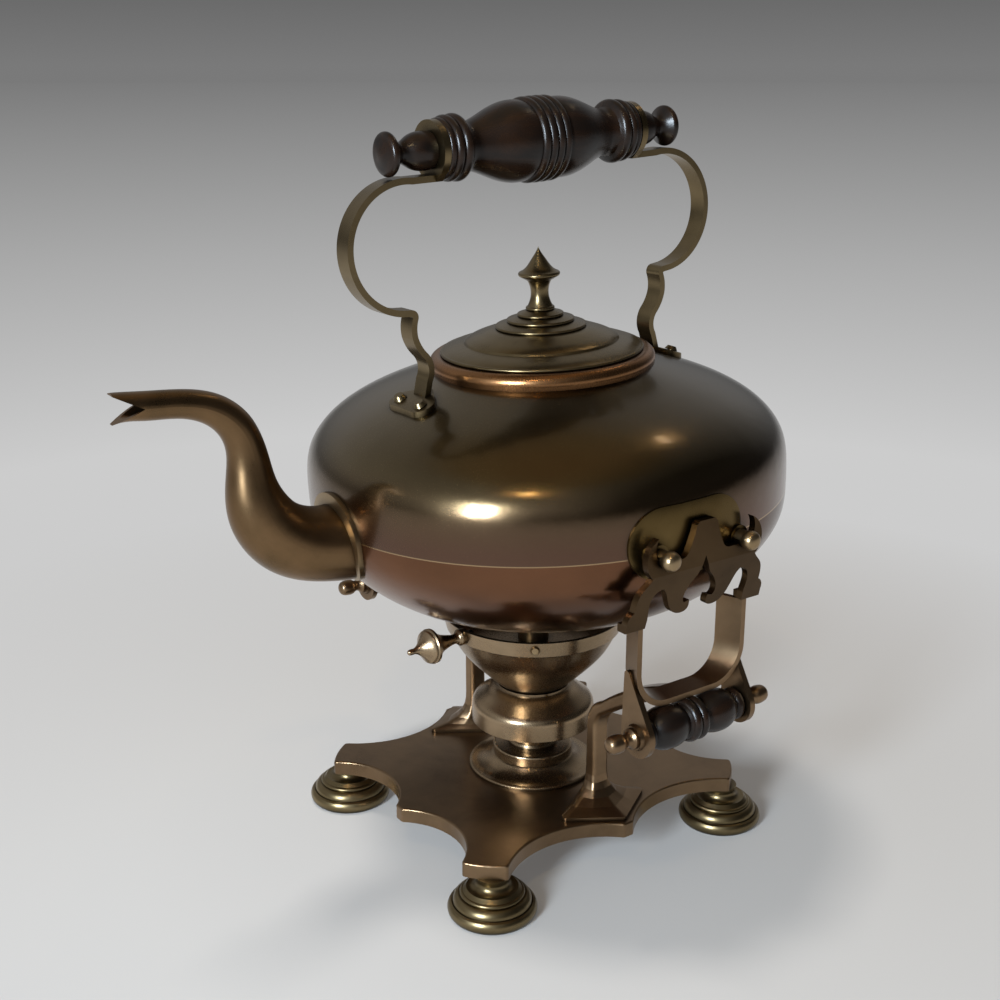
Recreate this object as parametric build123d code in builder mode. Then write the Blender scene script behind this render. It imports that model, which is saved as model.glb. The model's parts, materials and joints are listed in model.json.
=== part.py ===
from build123d import *
from math import cos, radians, sin
import os

# A spirit kettle on its stand: a copper kettle hung by four pins in two cradles,
# over a spirit burner that stands in a socket on a shaped base plate with four bun feet.
# Millimetres. The origin is on the table, midway between the four feet. +Z is up,
# +X points to the kettle's back, so the spout points to -X, and the near side is -Y.

# ------------------------------------------------------------------ driving sizes
SHEET = 1.6                # copper sheet of the kettle and of its lid
TURN_GAP = 0.05            # radial clearance of a pin or a plug that turns in its hole
ROD_GAP = 0.10             # radial clearance round a rod in a bored piece

# How the kettle hangs
BOWL_RIM = 100.8           # the burner's rim above the table
BURNER_GAP = 2.9           # from that rim up to the level of the kettle's bottom
PIN_SPACING = 41.4         # from the front pins to the rear pins
KETTLE_SETBACK = 6.4       # the kettle's axis behind the middle of its pins
KETTLE_LEAN = 3.0          # the kettle hangs with its nose this many degrees down

# Kettle body: stations of the outside, each (radius, height from the pins, outward angle)
EQUATOR = (104.3, 7.4, 0)
LOWER_STATIONS = [(101.2, -13.6, -23), (89.2, -29.0, -48), (60.0, -46.6, -66)]
UPPER_STATIONS = [(101.9, 23.4, 31), (92.2, 34.6, 53), (71.0, 45.3, 67)]
BOTTOM_RADIUS = 30.0       # flat of the bottom
BOTTOM_LEVEL = -56.6
BOTTOM_ANGLE = -72
SHOULDER_RADIUS = 42.0     # mouth of the kettle
SHOULDER_LEVEL = 55.2
SHOULDER_ANGLE = 71
SEAM_LEVEL = 0.0           # the joint between the upper and the lower half

# Collar and lid
COLLAR_FOOT_RADIUS = 48.4
COLLAR_TOP_RADIUS = 45.4
COLLAR_TOP = 59.4          # height of the collar's top from the pins
LID_RADIUS = 43.6
LID_SHEET = 1.5
LID_STEP_RADIUS = 32.6     # the shallow step half way up the lid
LID_STEP_LEVEL = 64.6
LID_RING_RADII = (19.6, 14.6, 10.0)
LID_RING_LEVELS = (69.4, 71.9, 74.2)
LID_CROWN = 76.6           # the flat that carries the knob
SLEEVE_GAP = 0.4
SLEEVE_WALL = 1.2
SLEEVE_DEPTH = 9.0
KNOB_TIP = 103.3
KNOB_RADIUS = 8.9
KNOB_STUD_RADIUS = 2.0
KNOB_NUT_HEIGHT = 3.4

# Spout: stations along its centre line, each (back from the axis, height, outside radius)
SPOUT_STATIONS = [
    (96.0, -3.8, 16.3),
    (105.0, -3.6, 16.1),
    (115.5, -1.8, 15.2),
    (127.9, 4.7, 14.3),
    (135.5, 15.7, 12.7),
    (138.2, 28.8, 9.9),
    (138.5, 40.5, 7.9),
    (141.7, 51.7, 7.0),
    (150.7, 60.7, 6.2),
    (163.2, 64.9, 5.5),
    (176.2, 66.5, 5.5),
    (188.3, 67.5, 5.9),
]
SPOUT_WALL = 1.3
SPOUT_TURN = 2.6           # the spout stands this many degrees round towards the far side
BEAK_NOTCH = 11.0          # how deep the mouth is notched into an upper and a lower lip
FLANGE_RADIUS = 19.2
FLANGE_THICK = 2.0

# Side plates and hanging pins
PLATE_LENGTH = 53.0
PLATE_HEIGHT = 29.6
PLATE_CORNER = 14.6
PLATE_MIDDLE = -10.2       # the plate's middle along the kettle
PLATE_LEVEL = 4.3          # the plate's middle above the pins
PLATE_THICK = 0.9
PIN_RADIUS = 3.2
PIN_SHANK_RADIUS = 2.2
PIN_SHANK_END = 93.0       # how near the kettle's axis the riveted shank ends
PIN_HEAD_RADIUS = 4.0
PIN_HEAD_LENGTH = 5.2
BOSS_RADIUS = 4.6

# Top handle
GRIP_LEVEL = 147.0         # the grip's axis above the pins
GRIP_HALF = 48.6
GRIP_NECK_RADIUS = 9.8
GRIP_BULGE_RADIUS = 16.3
GRIP_BEAD_RADIUS = 17.3
GRIP_COLLAR_RADIUS = 12.9
HANDLE_ROD_RADIUS = 3.0
EYE_RADIUS = 11.6
EYE_THICK = 3.0
STRAP_WIDTH = 8.5
STRAP_THICK = 2.6
BOW_RADIUS = 25.6          # centre line of the bracket's round bow
BOW_CENTRE = (66.5, 111.2)
HANDLE_KNOB_RADIUS = 8.6
HANDLE_KNOB_REACH = 73.2   # the button's face from the grip's middle
HANDLE_KNOB_NECK = 4.2
KNOB_BARREL_RADIUS = 7.6   # the knob's root against the eye
HANDLE_FOOT_AT = 66.8      # radius of the foot plate's rivets from the kettle's axis
STRAP_FOOT_AT = 61.8       # radius at which the strap runs into the foot plate
HANDLE_FOOT_ROUND = 5.4    # the plate is round about each rivet
HANDLE_FOOT_THICK = 2.2
FOOT_SEAT_GAP = 0.02       # between the handle's foot plates and the shell
RIVET_SPACING = 15.0
RIVET_RADIUS = 1.6
RIVET_HEAD_RADIUS = 3.0

# Base plate and feet
BASE_TOP = 24.0
BASE_THICK = 6.5
CORNER_FLAT = ((76.5, 53.0), (62.5, 67.0))   # ends of the face at each corner
CORNER_BOW = 0.8           # that face swells this far along X and along Y
CORNER_ROUND = 1.8
SIDE_HOLLOW = (62.5, 56.0)                   # how far out the hollows of the ends and sides reach
CUSP_REACH = (73.5, 69.5)                    # how far out the middle cusps reach
CUSP_FLAT = 5.0
FOOT_SPACING = (130.0, 118.0)
FOOT_RADIUS = 18.7
FOOT_NECK_RADIUS = 6.7
FOOT_SCREW_RADIUS = 2.5

# Supports
PILLAR_AT = 46.8           # the pillar's middle from the stand's middle line
PILLAR_WIDTH = 8.4
PILLAR_DEPTH = 6.8
PILLAR_ROUND = 2.0
PILLAR_FOOT = (48.0, 31.0) # across the corners of the foot
PILLAR_FOOT_SHIFT = 4.9    # the foot stands this far outside the column
PILLAR_FOOT_EDGE = 1.6
PILLAR_FLARE_TOP = 42.0    # the foot's flare ends and the straight column starts
ELBOW_DROP = 21.0          # from the frame's underside down to where the column has turned outwards
FLARE_POWER = 1.2          # a larger power draws the flare in sooner
FRAME_INNER = 92.6         # nearest and farthest reach of the frame's strap from the middle line
FRAME_OUTER = 103.4
FRAME_SPAN = (22.6, 26.2)  # half the clear width at the inner edge and at the outer edge
FRAME_RISE = 11.8          # from the grip's axis up to the clear height inside
FRAME_CORNER = 14.0
FRAME_THICK = 2.4
LUG_THICK = 2.6
LUG_RADIUS = 8.6
ROD_BOSS_RADIUS = 5.4
ROD_BOSS_RISE = 1.6
SIDE_GRIP_AT = 103.4
SIDE_GRIP_HEIGHT = 87.2
SIDE_GRIP_RADIUS = 9.0
SIDE_ROD_RADIUS = 2.2
SIDE_KNOB_REACH = 42.6
CRADLE_DROP = 28.3         # from the pins down to where the cradle stands on the frame's arms
CRADLE_THICK = 3.0
CRADLE_SIDE_GAP = 0.5      # between the kettle's side plate and the cradle
CRADLE_HEAD_GAP = 1.0      # between the cradle and a pin's head
KNEE_DROP = 6.3            # this far below the pins the cradle starts to lean in under the kettle
CRADLE_FOOT_OUTER = 103.6  # how far out the cradle's face is where it stands on the frame
PAD_HEIGHT = 3.3
PAD_INNER = 99.0
SEAT_GAP = 0.08            # round each pin in its seat
SUPPORT_SCREW_RADIUS = 2.0
SUPPORT_SCREW_BITE = 7.0   # how far the screw goes up into the pillar's foot

# Burner socket
SOCKET_FLANGE_RADIUS = 29.5
SOCKET_RING_RADIUS = 18.3
SOCKET_TOP = 34.8
SOCKET_FLOOR = 26.0
SOCKET_SCREW_RADIUS = 1.5
SOCKET_SCREW_CIRCLE = 20.0

# Burner
PLUG_RADIUS = 11.2
STEM_THREAD_RADIUS = 5.0   # of the stem's end, which the skirt, the bowl and the nut go over
BURNER_NUT_HEIGHT = 2.8
SKIRT_RADIUS = 28.1
SKIRT_BOTTOM = 47.1
SKIRT_TOP = 54.5
SKIRT_WALL = 1.6
BOWL_FOOT = 65.2
BOWL_FOOT_RADIUS = 15.4
BAND_HEIGHT = 7.8          # from the groove up to the rim
BOWL_GROOVE_RADIUS = 38.4
BOWL_RIM_RADIUS = 41.2
BOWL_WALL = 1.8
COVER_DROP = 15.5          # from the rim down to the cover's flat middle
COVER_THICK = 1.5
COVER_FLAT_RADIUS = 20.0   # of the cover's flat middle
COVER_RISE = 0.06          # outside its middle the cover rises this much for each millimetre
WICK_TUBE_RADIUS = 7.0
WICK_TUBE_WALL = 1.0
WICK_TUBE_DROP = 7.8       # from the rim down to the tube's top
WICK_RISE = 2.0
BURNER_HANDLE_DROP = 3.2   # from the rim down to the handle's axis
BURNER_HANDLE_TURN = 3.0   # the handle points this many degrees to the near side
BURNER_HANDLE_LENGTH = 28.4  # from the bowl's rim out to the handle's tip
BURNER_TANG_RADIUS = 2.0
BURNER_TANG_BITE = 5.6     # how far inside the rim the handle's tang starts
BURNER_SCREW_RADIUS = 1.3

# ------------------------------------------------------------------ worked out
PIN_HEIGHT = BOWL_RIM + BURNER_GAP - BOTTOM_LEVEL
FRAME_FLOOR = SIDE_GRIP_HEIGHT + FRAME_RISE
CRADLE_FOOT = PIN_HEIGHT - CRADLE_DROP
CRADLE_KNEE = PIN_HEIGHT - KNEE_DROP
BOWL_GROOVE = BOWL_RIM - BAND_HEIGHT
COVER_LEVEL = BOWL_RIM - COVER_DROP
WICK_TUBE_TOP = BOWL_RIM - WICK_TUBE_DROP
WICK_TOP = WICK_TUBE_TOP + WICK_RISE
BURNER_HANDLE_HEIGHT = BOWL_RIM - BURNER_HANDLE_DROP
lean_x = (cos(radians(KETTLE_LEAN)), 0, sin(radians(KETTLE_LEAN)))
lean_up = (-sin(radians(KETTLE_LEAN)), 0, cos(radians(KETTLE_LEAN)))
hang_point = (KETTLE_SETBACK, 0, PIN_HEIGHT)
# The kettle's own planes: heights are counted from the pins, distances from its axis.
kettle_top = Plane(origin=hang_point, x_dir=lean_x, z_dir=lean_up)
kettle_side = Plane(origin=hang_point, x_dir=lean_x, z_dir=(0, -1, 0))
kettle_end = Plane(origin=hang_point, x_dir=(0, 1, 0), z_dir=lean_x)
kettle_axis = Axis(hang_point, lean_up)

plate_face = EQUATOR[0] + PLATE_THICK
pin_shoulder = plate_face + 0.15
cradle_inner = plate_face + CRADLE_SIDE_GAP
cradle_outer = cradle_inner + CRADLE_THICK
head_from = cradle_outer + CRADLE_HEAD_GAP
front_pin_x = -PIN_SPACING / 2
rear_pin_x = PIN_SPACING / 2
base_bottom = BASE_TOP - BASE_THICK
from_below = (Align.CENTER, Align.CENTER, Align.MIN)
from_above = (Align.CENTER, Align.CENTER, Align.MAX)


def grown(station, growth):
    """The station's point, moved outwards by growth along the station's outward angle."""
    radius, level, angle = station
    return (radius + growth * cos(radians(angle)), level + growth * sin(radians(angle)))


def body_solid(growth):
    """The kettle's body as a solid of revolution, grown outwards, or inwards if negative."""
    bottom = (BOTTOM_RADIUS, BOTTOM_LEVEL - growth)
    mouth = grown((SHOULDER_RADIUS, SHOULDER_LEVEL, SHOULDER_ANGLE), growth)
    widest = grown(EQUATOR, growth)
    low_slope = (-sin(radians(BOTTOM_ANGLE)), cos(radians(BOTTOM_ANGLE)))
    top_slope = (-sin(radians(SHOULDER_ANGLE)), cos(radians(SHOULDER_ANGLE)))
    lower = [grown(station, growth) for station in reversed(LOWER_STATIONS)]
    upper = [grown(station, growth) for station in UPPER_STATIONS]
    with BuildPart() as solid:
        with BuildSketch(kettle_side):
            with BuildLine():
                Line((0, bottom[1]), bottom)
                Spline([bottom] + lower + [widest], tangents=(low_slope, (0, 1)))
                Spline([widest] + upper + [mouth], tangents=((0, 1), top_slope))
                Line(mouth, (0, mouth[1]))
                Line((0, mouth[1]), (0, bottom[1]))
            make_face()
        revolve(axis=kettle_axis)
    return solid.part


def side_copy(part, side):
    """A near-side part as it stands, or its mirror image on the far side."""
    return part if side < 0 else mirror(part, about=Plane.XZ)


def end_copy(part, end):
    """A front part of the kettle as it stands, or its mirror image at the back."""
    return part if end < 0 else mirror(part, about=kettle_end)


def save(name, part):
    """Labels a finished piece and writes it under its own name."""
    part.label = name
    export_step(part, f"parts/{name}.step")


os.makedirs("parts", exist_ok=True)
sides = {"near": -1, "far": 1}
ends = {"front": -1, "rear": 1}

# ------------------------------------------------------------------ kettle body
body_outside = body_solid(0)
body_inside = body_solid(-SHEET)
plate_outside = body_solid(PLATE_THICK)
foot_outside = body_solid(HANDLE_FOOT_THICK)
foot_underside = body_solid(FOOT_SEAT_GAP)
flange_outside = body_solid(FLANGE_THICK)

turn = radians(SPOUT_TURN)
spout_back = (cos(turn) * lean_x[0], -sin(turn), cos(turn) * lean_x[2])
spout_across = (-sin(turn) * lean_x[0], -cos(turn), -sin(turn) * lean_x[2])
spout_side = Plane(origin=hang_point, x_dir=spout_back, z_dir=spout_across)
root_level = SPOUT_STATIONS[1][1] + 1.4
root_point = spout_side.from_local_coords((-EQUATOR[0], root_level, 0))
root_plane = Plane(origin=root_point, x_dir=spout_across, z_dir=tuple(-part for part in spout_back))


def spout_station(station, shrink):
    """The plane across the spout at one station, and the radius there."""
    index = SPOUT_STATIONS.index(station)
    before = SPOUT_STATIONS[max(index - 1, 0)]
    after = SPOUT_STATIONS[min(index + 1, len(SPOUT_STATIONS) - 1)]
    here = spout_side.from_local_coords((-station[0], station[1], 0))
    way = spout_side.from_local_coords((before[0] - after[0], after[1] - before[1], 0)) - spout_side.origin
    return Plane(origin=here, x_dir=spout_across, z_dir=way), station[2] - shrink


def spout_solid(shrink):
    """The spout as a solid, with its radius less by shrink."""
    with BuildPart() as solid:
        for station in SPOUT_STATIONS:
            plane, radius = spout_station(station, shrink)
            with BuildSketch(plane):
                Circle(radius)
        loft()
    return solid.part


spout_outside = spout_solid(0)
spout_inside = spout_solid(SPOUT_WALL)


def pin_places():
    """Middle of each hanging pin, as X and side."""
    return [(x, side) for x in (front_pin_x, rear_pin_x) for side in sides.values()]


def rivet_plane(end, y):
    """Plane on the body's outside under a rivet of the handle's foot plates."""
    foot_level = body_level(HANDLE_FOOT_AT)
    here = kettle_side.from_local_coords((end * HANDLE_FOOT_AT, foot_level, -y))
    slope = radians(UPPER_STATIONS[-1][2])
    way = kettle_side.from_local_coords((end * cos(slope), sin(slope), 0)) - kettle_side.origin
    return Plane(origin=here, x_dir=(0, 1, 0), z_dir=way)


def body_level(radius):
    """Height of the body's upper outside at a radius near its last station."""
    low, high = UPPER_STATIONS[-1], (SHOULDER_RADIUS, SHOULDER_LEVEL)
    share = (low[0] - radius) / (low[0] - high[0])
    return low[1] + share * (high[1] - low[1])


rivet_planes = [
    rivet_plane(end, y) for end in ends.values() for y in (-RIVET_SPACING / 2, RIVET_SPACING / 2)
]


def body_shell():
    """The whole copper body with its mouth, spout hole and rivet holes."""
    with BuildPart() as shell:
        add(body_outside)
        add(body_inside, mode=Mode.SUBTRACT)
        with Locations(kettle_top.offset(SHOULDER_LEVEL)):
            Cylinder(SHOULDER_RADIUS, 4 * SHEET, mode=Mode.SUBTRACT)
        add(spout_inside, mode=Mode.SUBTRACT)
        for plane in rivet_planes:
            with Locations(plane):
                Cylinder(RIVET_RADIUS, 6 * SHEET, mode=Mode.SUBTRACT)
    return shell.part


def bore_for_pins():
    """Cuts the four holes of the pins' shanks in the part being built."""
    for x, side in pin_places():
        with Locations(Plane(origin=(x, side * PIN_SHANK_END, PIN_HEIGHT), z_dir=(0, side, 0))):
            Cylinder(PIN_SHANK_RADIUS + TURN_GAP, 24, mode=Mode.SUBTRACT)


seam_plane = kettle_top.offset(SEAM_LEVEL)
whole_shell = body_shell()
with BuildPart() as upper_shell:
    add(whole_shell)
    split(bisect_by=seam_plane, keep=Keep.TOP)
    bore_for_pins()
save("upper_shell", upper_shell.part)

with BuildPart() as lower_shell:
    add(whole_shell)
    split(bisect_by=seam_plane, keep=Keep.BOTTOM)
    bore_for_pins()
save("lower_shell", lower_shell.part)

# ------------------------------------------------------------------ collar
with BuildPart() as lid_collar:
    with BuildSketch(kettle_side):
        with BuildLine():
            Polyline(
                (SHOULDER_RADIUS, SHOULDER_LEVEL - 6),
                (COLLAR_FOOT_RADIUS - 0.6, SHOULDER_LEVEL - 6),
                (COLLAR_FOOT_RADIUS, SHOULDER_LEVEL - 0.6),
            )
            ThreePointArc(
                (COLLAR_FOOT_RADIUS, SHOULDER_LEVEL - 0.6),
                (COLLAR_FOOT_RADIUS - 0.7, COLLAR_TOP - 1.4),
                (COLLAR_TOP_RADIUS, COLLAR_TOP),
            )
            Polyline(
                (COLLAR_TOP_RADIUS, COLLAR_TOP),
                (SHOULDER_RADIUS, COLLAR_TOP),
                (SHOULDER_RADIUS, SHOULDER_LEVEL - 6),
            )
        make_face()
    revolve(axis=kettle_axis)
    add(body_outside, mode=Mode.SUBTRACT)
save("lid_collar", lid_collar.part)

# ------------------------------------------------------------------ spout and its flange
with BuildPart() as spout_flange:
    with BuildSketch(root_plane.offset(-12)):
        Circle(FLANGE_RADIUS)
    extrude(amount=20)
    add(flange_outside, mode=Mode.INTERSECT)
    add(body_outside, mode=Mode.SUBTRACT)
    add(spout_outside, mode=Mode.SUBTRACT)
save("spout_flange", spout_flange.part)

tip = SPOUT_STATIONS[-1]
with BuildPart() as spout:
    add(spout_outside)
    add(spout_inside, mode=Mode.SUBTRACT)
    add(body_outside, mode=Mode.SUBTRACT)
    with BuildSketch(spout_side):
        with BuildLine():
            Polyline(
                (-tip[0] + BEAK_NOTCH, tip[1] - 1.0),
                (-tip[0] - 0.5, tip[1] + tip[2] - 0.4),
                (-tip[0] - 3, tip[1]),
                (-tip[0] - 0.5, tip[1] - tip[2] + 0.2),
                close=True,
            )
        make_face()
    extrude(amount=2 * tip[2], both=True, mode=Mode.SUBTRACT)
save("spout", spout.part)

# ------------------------------------------------------------------ side plates and pins
for name, side in sides.items():
    with BuildPart() as side_plate:
        with BuildSketch(kettle_side):
            with Locations((PLATE_MIDDLE, PLATE_LEVEL)):
                RectangleRounded(PLATE_LENGTH, PLATE_HEIGHT, PLATE_CORNER)
        extrude(amount=-side * (plate_face + 1))
        add(plate_outside, mode=Mode.INTERSECT)
        for x in (front_pin_x, rear_pin_x):
            with BuildSketch(Plane(origin=(x, 0, PIN_HEIGHT), z_dir=(0, side, 0))):
                Circle(BOSS_RADIUS)
            extrude(amount=pin_shoulder)
        add(body_outside, mode=Mode.SUBTRACT)
        for x in (front_pin_x, rear_pin_x):
            with Locations(Plane(origin=(x, side * plate_face, PIN_HEIGHT), z_dir=(0, 1, 0))):
                Cylinder(PIN_SHANK_RADIUS + TURN_GAP, 30, mode=Mode.SUBTRACT)
    save(f"side_plate_{name}", side_plate.part)


def pin_pair(x):
    """The near and the far pin at one X: shank, journal and round head, on axes along Y."""
    with BuildPart() as pair:
        for side in sides.values():
            with BuildSketch(Plane(origin=(x, 0, PIN_HEIGHT), x_dir=(0, side, 0), z_dir=(1, 0, 0))):
                with BuildLine():
                    Polyline(
                        (PIN_SHANK_END, 0),
                        (PIN_SHANK_END, PIN_SHANK_RADIUS),
                        (pin_shoulder + TURN_GAP, PIN_SHANK_RADIUS),
                        (pin_shoulder + TURN_GAP, PIN_RADIUS),
                        (head_from, PIN_RADIUS),
                        (head_from, PIN_HEAD_RADIUS - 0.4),
                    )
                    ThreePointArc(
                        (head_from, PIN_HEAD_RADIUS - 0.4),
                        (head_from + 0.3 * PIN_HEAD_LENGTH, PIN_HEAD_RADIUS),
                        (head_from + 0.8 * PIN_HEAD_LENGTH, PIN_HEAD_RADIUS - 0.9),
                    )
                    Spline(
                        (head_from + 0.8 * PIN_HEAD_LENGTH, PIN_HEAD_RADIUS - 0.9),
                        (head_from + PIN_HEAD_LENGTH, 0),
                        tangents=((0.7, -0.7), (0, -1)),
                    )
                    Line((head_from + PIN_HEAD_LENGTH, 0), (PIN_SHANK_END, 0))
                make_face()
            revolve(axis=Axis((x, 0, PIN_HEIGHT), (0, 1, 0)))
    return pair.part


save("front_pins", pin_pair(front_pin_x))
save("rear_pins", pin_pair(rear_pin_x))

# ------------------------------------------------------------------ top handle
grip_middle = kettle_side.from_local_coords((0, GRIP_LEVEL, 0))
grip_side = Plane(origin=grip_middle, x_dir=lean_x, z_dir=(0, -1, 0))
grip_axis = Axis(grip_middle, lean_x)
eye_from = GRIP_HALF
eye_to = GRIP_HALF + EYE_THICK

with BuildPart() as handle_grip:
    with BuildSketch(grip_side):
        with BuildLine():
            ThreePointArc((0, GRIP_BEAD_RADIUS - 1.2), (1.8, GRIP_BEAD_RADIUS), (3.6, GRIP_BEAD_RADIUS - 1.2))
            ThreePointArc(
                (3.6, GRIP_BEAD_RADIUS - 1.2), (5.4, GRIP_BEAD_RADIUS - 0.1), (7.2, GRIP_BEAD_RADIUS - 1.4)
            )
            Spline(
                (7.2, GRIP_BEAD_RADIUS - 1.4),
                (13.0, GRIP_BULGE_RADIUS),
                (24.5, 12.9),
                (33.0, GRIP_NECK_RADIUS),
                (37.2, GRIP_NECK_RADIUS + 0.5),
                tangents=((1, 0.25), (1, 0.45)),
            )
            Line((37.2, GRIP_NECK_RADIUS + 0.5), (38.0, GRIP_COLLAR_RADIUS - 1.0))
            ThreePointArc(
                (38.0, GRIP_COLLAR_RADIUS - 1.0),
                (40.2, GRIP_COLLAR_RADIUS + 0.3),
                (42.2, GRIP_COLLAR_RADIUS - 1.2),
            )
            ThreePointArc(
                (42.2, GRIP_COLLAR_RADIUS - 1.2), (44.0, GRIP_COLLAR_RADIUS), (45.8, GRIP_COLLAR_RADIUS - 1.4)
            )
            ThreePointArc(
                (45.8, GRIP_COLLAR_RADIUS - 1.4),
                (47.4, GRIP_COLLAR_RADIUS - 0.9),
                (GRIP_HALF, GRIP_COLLAR_RADIUS - 2.2),
            )
            Polyline((GRIP_HALF, GRIP_COLLAR_RADIUS - 2.2), (GRIP_HALF, 0), (0, 0), (0, GRIP_BEAD_RADIUS - 1.2))
        make_face()
        mirror(about=Plane.YZ)
    revolve(axis=grip_axis)
    with Locations(Plane(origin=grip_middle, z_dir=lean_x)):
        Cylinder(HANDLE_ROD_RADIUS + ROD_GAP, 3 * GRIP_HALF, mode=Mode.SUBTRACT)
save("handle_grip", handle_grip.part)

knob_base = eye_to
rim_front = HANDLE_KNOB_REACH - 0.7
rim_back = HANDLE_KNOB_REACH - 4.0
rod_end = knob_base + 10.0
with BuildPart() as handle_rod:
    with Locations(Plane(origin=grip_middle, z_dir=lean_x)):
        Cylinder(HANDLE_ROD_RADIUS, 2 * rod_end)
save("handle_rod", handle_rod.part)

with BuildPart() as handle_knob:
    with BuildSketch(grip_side):
        with BuildLine():
            Polyline(
                (-knob_base, 0),
                (-knob_base, KNOB_BARREL_RADIUS - 0.4),
            )
            Spline(
                (-knob_base, KNOB_BARREL_RADIUS - 0.4),
                (-knob_base - 4.0, KNOB_BARREL_RADIUS),
                (-knob_base - 9.6, KNOB_BARREL_RADIUS - 1.4),
                (-knob_base - 13.6, HANDLE_KNOB_NECK),
                (-rim_back, HANDLE_KNOB_RADIUS - 0.9),
                tangents=((-1, 0.25), (-0.75, 1)),
            )
            ThreePointArc(
                (-rim_back, HANDLE_KNOB_RADIUS - 0.9),
                (-rim_back - 1.7, HANDLE_KNOB_RADIUS),
                (-rim_front, HANDLE_KNOB_RADIUS - 1.2),
            )
            Spline(
                (-rim_front, HANDLE_KNOB_RADIUS - 1.2),
                (-HANDLE_KNOB_REACH, 4.6),
                (-HANDLE_KNOB_REACH - 0.6, 0),
                tangents=((-0.5, -1), (0, -1)),
            )
            Line((-HANDLE_KNOB_REACH - 0.6, 0), (-knob_base, 0))
        make_face()
    revolve(axis=grip_axis)
    with Locations(Plane(origin=grip_middle, z_dir=lean_x)):
        Cylinder(HANDLE_ROD_RADIUS, 2 * rod_end, mode=Mode.SUBTRACT)
for name, end in ends.items():
    save(f"handle_knob_{name}", end_copy(handle_knob.part, end))

bow_x, bow_z = BOW_CENTRE
eye_foot = GRIP_LEVEL - EYE_RADIUS + 1.0
foot_top = body_level(STRAP_FOOT_AT) + HANDLE_FOOT_THICK
with BuildPart() as handle_bracket:
    # The bent strap, drawn along its centre line from the eye down to the foot.
    with BuildSketch(kettle_side):
        with BuildLine():
            Line((-eye_from - EYE_THICK / 2, eye_foot), (-bow_x + 4.0, bow_z + BOW_RADIUS - 0.3))
            ThreePointArc(
                (-bow_x + 4.0, bow_z + BOW_RADIUS - 0.3),
                (-bow_x - BOW_RADIUS, bow_z),
                (-bow_x - 4.0, bow_z - BOW_RADIUS + 0.3),
            )
            Line((-bow_x - 4.0, bow_z - BOW_RADIUS + 0.3), (-66.6, 85.5))
            ThreePointArc((-66.6, 85.5), (-65.1, 84.6), (-65.0, 83.0))
            ThreePointArc((-65.0, 83.0), (-65.8, 79.4), (-65.6, 75.2))
            ThreePointArc((-65.6, 75.2), (-64.0, 71.2), (-61.0, 67.2))
            ThreePointArc((-61.0, 67.2), (-58.9, 62.0), (-60.0, 57.0))
            Line((-60.0, 57.0), (-STRAP_FOOT_AT, foot_top - 0.6))
        trace(line_width=STRAP_THICK)
    extrude(amount=STRAP_WIDTH / 2, both=True)
    # The eye that the rod passes through.
    with BuildSketch(Plane(origin=grip_middle, x_dir=(0, 1, 0), z_dir=lean_x).offset(-eye_to)):
        Circle(EYE_RADIUS)
        with Locations((0, 1.0 - EYE_RADIUS)):
            Rectangle(STRAP_WIDTH, STRAP_THICK)
        make_hull()
    extrude(amount=EYE_THICK)
    # The foot plate, which lies on the shoulder of the kettle.
    with BuildSketch(kettle_top.offset(SHOULDER_LEVEL)) as foot_outline:
        with Locations((-HANDLE_FOOT_AT, -RIVET_SPACING / 2), (-HANDLE_FOOT_AT, RIVET_SPACING / 2)):
            Circle(HANDLE_FOOT_ROUND)
        with Locations((-STRAP_FOOT_AT, 0)):
            Circle(HANDLE_FOOT_ROUND - 0.6)
        make_hull()
    foot_prism = extrude(foot_outline.sketch, amount=-30, mode=Mode.PRIVATE)
    add(foot_prism & foot_outside)
    add(foot_underside, mode=Mode.SUBTRACT)
    with Locations(Plane(origin=grip_middle, z_dir=lean_x)):
        Cylinder(HANDLE_ROD_RADIUS + ROD_GAP, 3 * GRIP_HALF, mode=Mode.SUBTRACT)
    for plane in rivet_planes[:2]:
        with Locations(plane):
            Cylinder(RIVET_RADIUS, 6 * SHEET, mode=Mode.SUBTRACT)
for name, end in ends.items():
    save(f"handle_bracket_{name}", end_copy(handle_bracket.part, end))

with BuildPart() as handle_rivets:
    for plane in rivet_planes:
        with BuildSketch(plane.offset(-SHEET - 1.2)):
            Circle(RIVET_RADIUS)
        extrude(amount=SHEET + 1.2 + HANDLE_FOOT_THICK + 0.8)
        with BuildSketch(plane.offset(HANDLE_FOOT_THICK + 0.15)):
            Circle(RIVET_HEAD_RADIUS)
        extrude(amount=1.7, taper=32)
save("handle_rivets", handle_rivets.part)

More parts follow.
